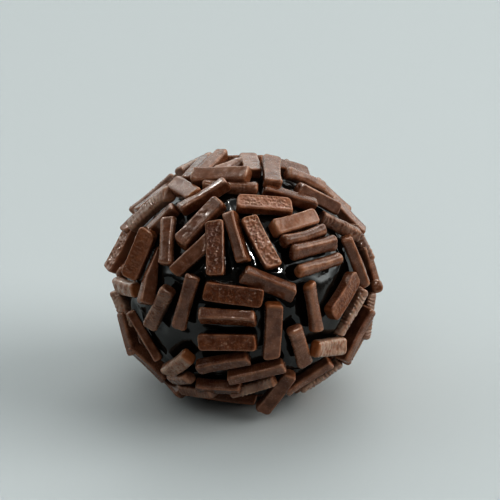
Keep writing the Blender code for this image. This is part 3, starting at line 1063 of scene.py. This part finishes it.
@dataclass(frozen=True)
class ChocolateFinish:
    """Milk chocolate as one kind of sprinkle shows it.

    Film and sheen is a thin dull film on the skin that came out of the die, and also a painted grey sky
    sheen, more of it on lighter bars. The cut ends and the pits have no film, so they are glossier and
    browner. The painted highlight is a highlight and translucent glow painted on the rounded edges, and
    the colour of light specks that are partly painted glints.
    """

    name: str
    dark: Color = (0.118, 0.044, 0.019)
    light: Color = (0.28, 0.135, 0.078)
    warm: Color = (0.32, 0.145, 0.062)
    painted_highlight: Color = (0.44, 0.235, 0.14)
    film_and_sheen: Color = (0.42, 0.34, 0.28)
    film_and_sheen_share: float = 0.07
    specks_and_glints: float = 0.12
    dull: float = 0.26
    glossy: float = 0.14
    grain: float = 0.35
    grain_depth: float = 0.05
    grain_strength: float = 0.9
    ior: float = 1.6
    coat: float = 0.6
    coat_roughness: float = 0.12
    coat_ior: float = 1.5
    subsurface: float = 0.12
    subsurface_reach: float = 0.5
    subsurface_spread: Color = (1.0, 0.38, 0.16)

    @staticmethod
    def skin_group() -> bpy.types.NodeTree:
        """The skin of every sprinkle, built once and used with each kind's own values.

        Returns:
            The node group.
        """
        found = bpy.data.node_groups.get("Chocolate Skin")
        if found is not None:
            return found
        tree = bpy.data.node_groups.new("Chocolate Skin", "ShaderNodeTree")
        for name in ("Dark", "Light", "Warm", "Painted Highlight", "Film And Sheen"):
            group_socket(tree, name, "INPUT", "NodeSocketColor", (0.1, 0.04, 0.02, 1.0))
        for name in ("Film And Sheen Share", "Specks And Glints", "Dull", "Glossy", "Grain"):
            group_socket(tree, name, "INPUT", "NodeSocketFloat", 0.5)
        group_socket(tree, "Color", "OUTPUT", "NodeSocketColor")
        group_socket(tree, "Roughness", "OUTPUT", "NodeSocketFloat")
        group_socket(tree, "Height", "OUTPUT", "NodeSocketFloat")
        links = Links(tree)
        given = links.add("NodeGroupInput").outputs
        finish = links.add("Attribute", attribute_name="finish")
        place = links.add("Attribute", attribute_name="place").outputs["Vector"]
        parts = links.add("SeparateColor")
        links.put(finish.outputs["Color"], parts.inputs[0])
        cut, highlit_rim, tone = parts.outputs[0], parts.outputs[1], parts.outputs[2]
        pit = finish.outputs["Alpha"]
        cloud = links.noise(place, 0.9, 3.0)
        speck = links.noise(place, 5.5, 3.0, 0.65)
        fine = links.noise(place, 14.0, 2.0)
        # Colour: the body from dark to light, then a painted highlight and glow on its rounded edges,
        # its cut ends, the dull film with painted grey sky sheen, and light specks that are partly
        # painted glints
        lightness = links.plus(tone, links.spread(cloud, 0.3, 0.7, -0.25, 0.25), clamp=True)
        body = links.mix(lightness, given["Dark"], given["Light"])
        # Painted highlight and translucent glow along the rounded edges, in patches
        rim_highlight_share = links.times(highlit_rim, links.spread(cloud, 0.3, 0.6, 0.1, 0.42))
        rim_highlighted = links.mix(rim_highlight_share, body, given["Painted Highlight"])
        warmed = links.mix(links.times(cut, 0.85), rim_highlighted, given["Warm"])
        patches = links.times(
            links.spread(cloud, 0.28, 0.72, 0.45, 1.25), links.spread(speck, 0.3, 0.62, 0.55, 1.1))
        patches = links.times(patches, links.spread(tone, 0.0, 1.0, 0.6, 1.8))
        bare = links.math("MAXIMUM", cut, links.times(pit, 0.8))
        # Dull film, which also paints a grey sky sheen, more of it on lighter bars
        film_and_sheen_mask = links.times(
            links.times(given["Film And Sheen Share"], patches), links.rest_of(bare), clamp=True)
        film_and_sheen_mixed = links.mix(film_and_sheen_mask, warmed, given["Film And Sheen"])
        # Light specks in the painted highlight colour, partly painted glints
        speck_glint_share = links.times(links.spread(speck, 0.56, 0.68), given["Specks And Glints"])
        color = links.mix(speck_glint_share, film_and_sheen_mixed, given["Painted Highlight"])
        # Gloss: the cut ends and the pits shine, and the skin between them is duller
        glossy_share = links.math("MAXIMUM", links.times(cut, 0.9), pit)
        duller = links.math("SUBTRACT", given["Dull"], given["Glossy"])
        rough = links.plus(given["Glossy"], links.times(duller, links.rest_of(glossy_share)))
        rough = links.plus(rough, links.spread(speck, 0.3, 0.7, 0.06, -0.1))
        # Grain: raised specks, weaker on the cut ends
        grainy = links.plus(links.times(speck, 0.7), links.times(fine, 0.3))
        height = links.times(
            links.times(grainy, given["Grain"]), links.rest_of(links.times(cut, 0.7)))
        out = links.add("NodeGroupOutput")
        links.put(color, out.inputs["Color"])
        links.put(rough, out.inputs["Roughness"])
        links.put(height, out.inputs["Height"])
        return tree

    def material(self) -> bpy.types.Material:
        """Makes the material.

        Returns:
            The material.
        """
        made = bpy.data.materials.new(self.name)
        made.use_nodes = True
        tree = made.node_tree
        shader = tree.nodes["Principled BSDF"]
        links = Links(tree)
        skin = links.add("Group", node_tree=self.skin_group())
        values = {
            "Dark": (*self.dark, 1.0),
            "Light": (*self.light, 1.0),
            "Warm": (*self.warm, 1.0),
            "Painted Highlight": (*self.painted_highlight, 1.0),
            "Film And Sheen": (*self.film_and_sheen, 1.0),
            "Film And Sheen Share": self.film_and_sheen_share,
            "Specks And Glints": self.specks_and_glints,
            "Dull": self.dull,
            "Glossy": self.glossy,
            "Grain": self.grain,
        }
        for name, value in values.items():
            skin.inputs[name].default_value = value
        bump = links.add("Bump")
        bump.inputs["Distance"].default_value = self.grain_depth * MM
        bump.inputs["Strength"].default_value = self.grain_strength
        links.put(skin.outputs["Height"], bump.inputs["Height"])
        links.put(skin.outputs["Color"], shader.inputs["Base Color"])
        links.put(skin.outputs["Roughness"], shader.inputs["Roughness"])
        links.put(bump.outputs["Normal"], shader.inputs["Normal"])
        shader.inputs["IOR"].default_value = self.ior
        shader.inputs["Coat Weight"].default_value = self.coat
        shader.inputs["Coat Roughness"].default_value = self.coat_roughness
        shader.inputs["Coat IOR"].default_value = self.coat_ior
        shader.inputs["Subsurface Weight"].default_value = self.subsurface
        shader.inputs["Subsurface Radius"].default_value = self.subsurface_spread
        shader.inputs["Subsurface Scale"].default_value = self.subsurface_reach * MM
        return made


FINISHES = {
    Kind.SMOOTH: ChocolateFinish("smooth_chocolate"),
    Kind.SPECKLED: ChocolateFinish(
        "speckled_chocolate", dark=(0.125, 0.042, 0.014), light=(0.3, 0.132, 0.064), film_and_sheen_share=0.02,
        specks_and_glints=0.5, dull=0.24, glossy=0.13, grain=0.8),
    Kind.PITTED: ChocolateFinish(
        "pitted_chocolate", film_and_sheen_share=0.03, specks_and_glints=0.15, dull=0.18, glossy=0.12),
    # Ridged bars get the most film, which paints grey sky sheen on their sides
    Kind.RIDGED: ChocolateFinish("ridged_chocolate", film_and_sheen_share=0.3, dull=0.34, grain=0.5),
    Kind.ROUND: ChocolateFinish("round_chocolate", film_and_sheen_share=0.1),
}


@dataclass(frozen=True)
class FudgeFinish:
    """Dark fudge, nearly black and as glossy as syrup."""

    name: str = "dark_fudge"
    color: Color = (0.011, 0.0095, 0.008)
    roughness: float = 0.07
    rougher: float = 0.14
    lump_depth: float = 0.12
    lump_strength: float = 0.5
    ior: float = 1.85

    def material(self) -> bpy.types.Material:
        """Makes the material.

        Returns:
            The material.
        """
        made = bpy.data.materials.new(self.name)
        made.use_nodes = True
        tree = made.node_tree
        shader = tree.nodes["Principled BSDF"]
        links = Links(tree)
        place = links.add("TexCoord").outputs["Object"]
        slow = links.noise(place, 260.0, 2.0)
        fine = links.noise(place, 1400.0, 3.0)
        wet_patches = links.spread(links.noise(place, 420.0, 1.0), 0.5, 0.62)
        wet = links.times(links.noise(place, 2600.0, 2.0), wet_patches)
        lighter = [2.0 * part for part in self.color]
        color = links.mix(links.spread(slow, 0.35, 0.65), (*self.color, 1.0), (*lighter, 1.0))
        rough = links.spread(slow, 0.3, 0.7, self.roughness, self.roughness + self.rougher)
        bump = links.add("Bump")
        bump.inputs["Distance"].default_value = self.lump_depth * MM
        bump.inputs["Strength"].default_value = self.lump_strength
        height = links.plus(links.plus(slow, links.times(fine, 0.12)), links.times(wet, 0.6))
        links.put(height, bump.inputs["Height"])
        links.put(color, shader.inputs["Base Color"])
        links.put(rough, shader.inputs["Roughness"])
        links.put(bump.outputs["Normal"], shader.inputs["Normal"])
        shader.inputs["IOR"].default_value = self.ior
        return made


@dataclass(frozen=True)
class FloorFinish:
    """A plain pale surface with a soft dull sheen."""

    name: str = "pale_floor"
    color: Color = (0.505, 0.53, 0.535)
    roughness: float = 0.55
    sheen: float = 0.2

    def material(self) -> bpy.types.Material:
        """Makes the material.

        Returns:
            The material.
        """
        made = bpy.data.materials.new(self.name)
        made.use_nodes = True
        shader = made.node_tree.nodes["Principled BSDF"]
        shader.inputs["Base Color"].default_value = (*self.color, 1.0)
        shader.inputs["Roughness"].default_value = self.roughness
        shader.inputs["Specular IOR Level"].default_value = self.sheen
        return made


def placed_object(name: str, points: np.ndarray, faces: list[Face]) -> bpy.types.Object:
    """Makes a smooth mesh object in its place, from points about the ball's middle.

    Args:
        name: The object's name.
        points: The points, in millimetres.
        faces: The faces.

    Returns:
        The linked object.
    """
    data = bpy.data.meshes.new(name)
    raised = (points + np.array([0.0, 0.0, FudgeBall.middle_height])) * MM
    data.from_pydata(raised.tolist(), [], faces)
    data.polygons.foreach_set("use_smooth", np.ones(len(data.polygons), dtype=bool))
    made = bpy.data.objects.new(name, data)
    bpy.context.scene.collection.objects.link(made)
    return made


@dataclass
class SprinkleCoat:
    """Every sprinkle, joined in one mesh for each kind."""

    sprinkles: list[Sprinkle]
    maker: SprinkleMaker = field(default_factory=SprinkleMaker)

    def build(self) -> list[bpy.types.Object]:
        """Models and dresses the sprinkles, one piece for each kind."""
        return [self.piece(kind) for kind in Kind]

    def piece(self, kind: Kind) -> bpy.types.Object:
        """Joins the sprinkles of one kind.

        Args:
            kind: The kind.

        Returns:
            The dressed piece.
        """
        made = [
            self.maker.model(sprinkle, number)
            for number, sprinkle in enumerate(self.sprinkles)
            if sprinkle.kind is kind
        ]
        faces: list[Face] = []
        start = 0
        for each in made:
            faces.extend(tuple(start + corner for corner in face) for face in each.faces)
            start += len(each.points)
        points = np.concatenate([each.points for each in made])
        finish = np.concatenate([each.finish for each in made])
        place = np.concatenate([each.place for each in made])
        piece = placed_object(f"{kind.value}_sprinkles", points, faces)
        data = piece.data
        finish_layer = data.color_attributes.new("finish", "FLOAT_COLOR", "POINT")
        finish_layer.data.foreach_set("color", finish.astype(np.float32).ravel())
        place_layer = data.attributes.new("place", "FLOAT_VECTOR", "POINT")
        place_layer.data.foreach_set("vector", place.astype(np.float32).ravel())
        data.materials.append(FINISHES[kind].material())
        return piece


@dataclass
class FudgeCore:
    """The glossy fudge that shows between the sprinkles."""

    ball: FudgeBall
    sprinkles: list[Sprinkle]
    divisions: int = 6
    dip: float = 0.4
    dip_reach: float = 0.6
    slow_lump: float = 0.16
    shrink: float = 0.15
    floor_gap: float = 0.25

    def build(self) -> bpy.types.Object:
        """Models and dresses the core.

        Returns:
            The piece.
        """
        mesh = bmesh.new()
        bmesh.ops.create_icosphere(mesh, subdivisions=self.divisions, radius=1.0)
        mesh.verts.ensure_lookup_table()
        ways = [vert.co.normalized() for vert in mesh.verts]
        faces = [tuple(vert.index for vert in face.verts) for face in mesh.faces]
        mesh.free()
        skin = np.array([way * self.ball.skin_radius(way) for way in ways])
        spots = [Vector(point) for point in skin]
        lumps = np.array([noise.noise(at * 0.45) + 0.5 * noise.noise(at * 1.3) for at in spots])
        near = self.nearest_sprinkle(skin)
        dip = self.dip * np.exp(-((near / self.dip_reach) ** 2))
        points = skin + np.array(ways) * (self.slow_lump * lumps - dip - self.shrink)[:, None]
        points[:, 2] = np.maximum(points[:, 2], self.floor_gap - self.ball.middle_height)
        piece = placed_object("fudge", points, faces)
        piece.data.materials.append(FudgeFinish().material())
        return piece

    def nearest_sprinkle(self, points: np.ndarray) -> np.ndarray:
        """The distance from each point to the nearest sprinkle.

        Args:
            points: The points.

        Returns:
            The distances, 0 inside a sprinkle.
        """
        least = np.full(len(points), math.inf)
        for each in self.sprinkles:
            axes = np.array([each.along, each.across, each.face]).T
            local = (points - np.array(each.middle)) @ axes
            half = np.array([each.length, each.width, each.thickness]) / 2
            away = np.linalg.norm(np.maximum(np.abs(local) - half, 0.0), axis=1)
            least = np.minimum(least, away)
        return least


class Light(Enum):
    """What a lamp gives: the soft light alone, the glints alone, or both."""

    SOFT = "soft"
    GLINTS = "glints"
    BOTH = "both"


@dataclass
class Studio:
    """A plain pale floor, soft light from above, behind and the sides, and the camera.

    Sensor and seen_width are in millimetres, and seen_width is how wide a view the camera has at the
    ball. The other lengths here are in metres.
    """

    ball: FudgeBall
    sensor: float = 36.0
    seen_width: float = 55.556
    shift_right: float = 0.016
    shift_up: float = 0.058
    nearest_seen: float = 0.01
    floor_size: float = 3.0
    sky: Color = (0.95, 1.0, 1.0)
    backdrop: float = 0.42
    from_above: float = 0.29
    from_behind: float = 0.88
    from_front: float = 0.07
    from_left: float = 1.25
    from_right: float = 2.1
    key_watts: float = 0.66
    fill_watts: float = 1.25
    side_watts: float = 2.5
    sheen_watts: float = 0.4
    glint_watts: float = 0.7
    window_size: float = 0.045
    lamp_color: Color = (1.0, 0.99, 0.97)

    def build(self) -> None:
        """Sets up the floor, the lights and the camera."""
        self.floor()
        self.world()
        self.lamp("key", (0.1, 0.45, 0.7), 0.5, self.key_watts, Light.BOTH)
        self.lamp("softbox", (-0.1, -0.58, 0.55), 0.7, self.fill_watts, Light.SOFT)
        self.lamp("side_softbox", (0.7, -0.05, 0.32), 0.6, self.side_watts, Light.SOFT)
        self.lamp("wide_window", (0.24, -0.38, 0.7), 0.3, self.sheen_watts, Light.GLINTS)
        windows = (
            ("right_window", (0.3, 0.3, 0.75), 0.6),
            ("left_window", (-0.35, 0.12, 0.6), 0.3),
            ("front_window", (0.16, -0.43, 0.68), 1.0),
            ("low_window", (-0.2, -0.62, 0.48), 0.5),
            ("top_window", (-0.1, 0.14, 0.8), 0.6),
            ("back_window", (-0.34, 0.48, 0.53), 0.6),
        )
        for name, place, share in windows:
            self.lamp(name, place, self.window_size, share * self.glint_watts, Light.GLINTS)
        self.camera()

    def floor(self) -> None:
        """Lays the floor."""
        mesh = bmesh.new()
        bmesh.ops.create_grid(mesh, x_segments=4, y_segments=4, size=self.floor_size / 2)
        data = bpy.data.meshes.new("floor")
        mesh.to_mesh(data)
        mesh.free()
        made = bpy.data.objects.new("floor", data)
        made.data.materials.append(FloorFinish().material())
        bpy.context.scene.collection.objects.link(made)

    def world(self) -> None:
        """Lights the room softly, bright behind the ball and dim in front, before a pale backdrop."""
        made = bpy.data.worlds.new("soft_room")
        made.use_nodes = True
        tree = made.node_tree
        links = Links(tree)
        way = links.add("TexCoord").outputs["Generated"]
        parts = links.add("SeparateXYZ")
        links.put(way, parts.inputs[0])
        across, away, height = parts.outputs
        above = links.times(
            links.spread(height, 0.55, 0.85), links.spread(away, -0.5, -0.05, 0.12, 1.0))
        level = links.times(
            links.spread(height, 0.0, 0.1), links.spread(height, 0.55, 0.85, 1.0, 0.0))
        behind = links.spread(away, -0.1, 0.65)
        front = links.spread(links.times(away, -1.0), -0.1, 0.65)
        beside = links.math("SUBTRACT", 1.0, links.plus(behind, front), clamp=True)
        side = links.times(
            links.spread(across, -0.1, 0.1, self.from_left, self.from_right),
            links.spread(height, 0.22, 0.48, 0.06, 1.0))
        walls = links.plus(
            links.times(behind, self.from_behind), links.times(front, self.from_front))
        walls = links.plus(walls, links.times(beside, side))
        lighting = links.plus(links.times(above, self.from_above), links.times(level, walls))
        seen = links.add("LightPath").outputs["Is Camera Ray"]
        strength = links.plus(
            links.times(lighting, links.rest_of(seen)), links.times(seen, self.backdrop))
        background = tree.nodes["Background"]
        background.inputs["Color"].default_value = (*self.sky, 1.0)
        links.put(strength, background.inputs["Strength"])
        bpy.context.scene.world = made

    def lamp(self, name: str, place: tuple[float, float, float], size: float, watts: float,
             gives: Light) -> None:
        """Hangs a square lamp that faces the ball.

        Args:
            name: Its name.
            place: Where it hangs, in metres.
            size: Its width, in metres.
            watts: Its power.
            gives: What it gives.
        """
        light = bpy.data.lights.new(name, "AREA")
        light.size = size
        light.energy = watts
        light.color = self.lamp_color
        made = bpy.data.objects.new(name, light)
        made.location = place
        made.visible_glossy = gives is not Light.SOFT
        made.visible_diffuse = gives is not Light.GLINTS
        aim = Vector((0.0, 0.0, self.ball.middle_height * MM)) - Vector(place)
        made.rotation_euler = aim.to_track_quat("-Z", "Y").to_euler()
        bpy.context.scene.collection.objects.link(made)

    def camera(self) -> None:
        """Sets up the camera in front of the showing side, a little above it."""
        data = bpy.data.cameras.new("camera")
        data.sensor_width = self.sensor
        data.lens = self.sensor * SHOWING_DISTANCE / self.seen_width
        data.shift_x = self.shift_right
        data.shift_y = self.shift_up
        data.clip_start = self.nearest_seen
        made = bpy.data.objects.new("camera", data)
        spot = TOWARD * SHOWING_DISTANCE * MM + Vector((0.0, 0.0, self.ball.middle_height * MM))
        made.matrix_world = Matrix(
            (
                (RIGHT.x, UP.x, TOWARD.x, spot.x),
                (RIGHT.y, UP.y, TOWARD.y, spot.y),
                (RIGHT.z, UP.z, TOWARD.z, spot.z),
                (0.0, 0.0, 0.0, 1.0),
            )
        )
        bpy.context.scene.collection.objects.link(made)
        bpy.context.scene.camera = made


def main() -> None:
    """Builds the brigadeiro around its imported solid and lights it."""
    logging.basicConfig(level=logging.INFO, format="%(name)s: %(message)s")
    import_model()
    bpy.context.scene.view_settings.view_transform = "Standard"
    bpy.context.scene.view_settings.look = "Very High Contrast"
    ball = FudgeBall()
    sprinkles = SprinkleLay(ball).every_sprinkle()
    pieces = [FudgeCore(ball, sprinkles).build()] + SprinkleCoat(sprinkles).build()
    for piece in pieces:
        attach(piece, "root")
        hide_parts(CAD_NODE)
        LOG.info("%s: %d faces", piece.name, len(piece.data.polygons))
    Studio(ball).build()


if __name__ == "__main__":
    main()
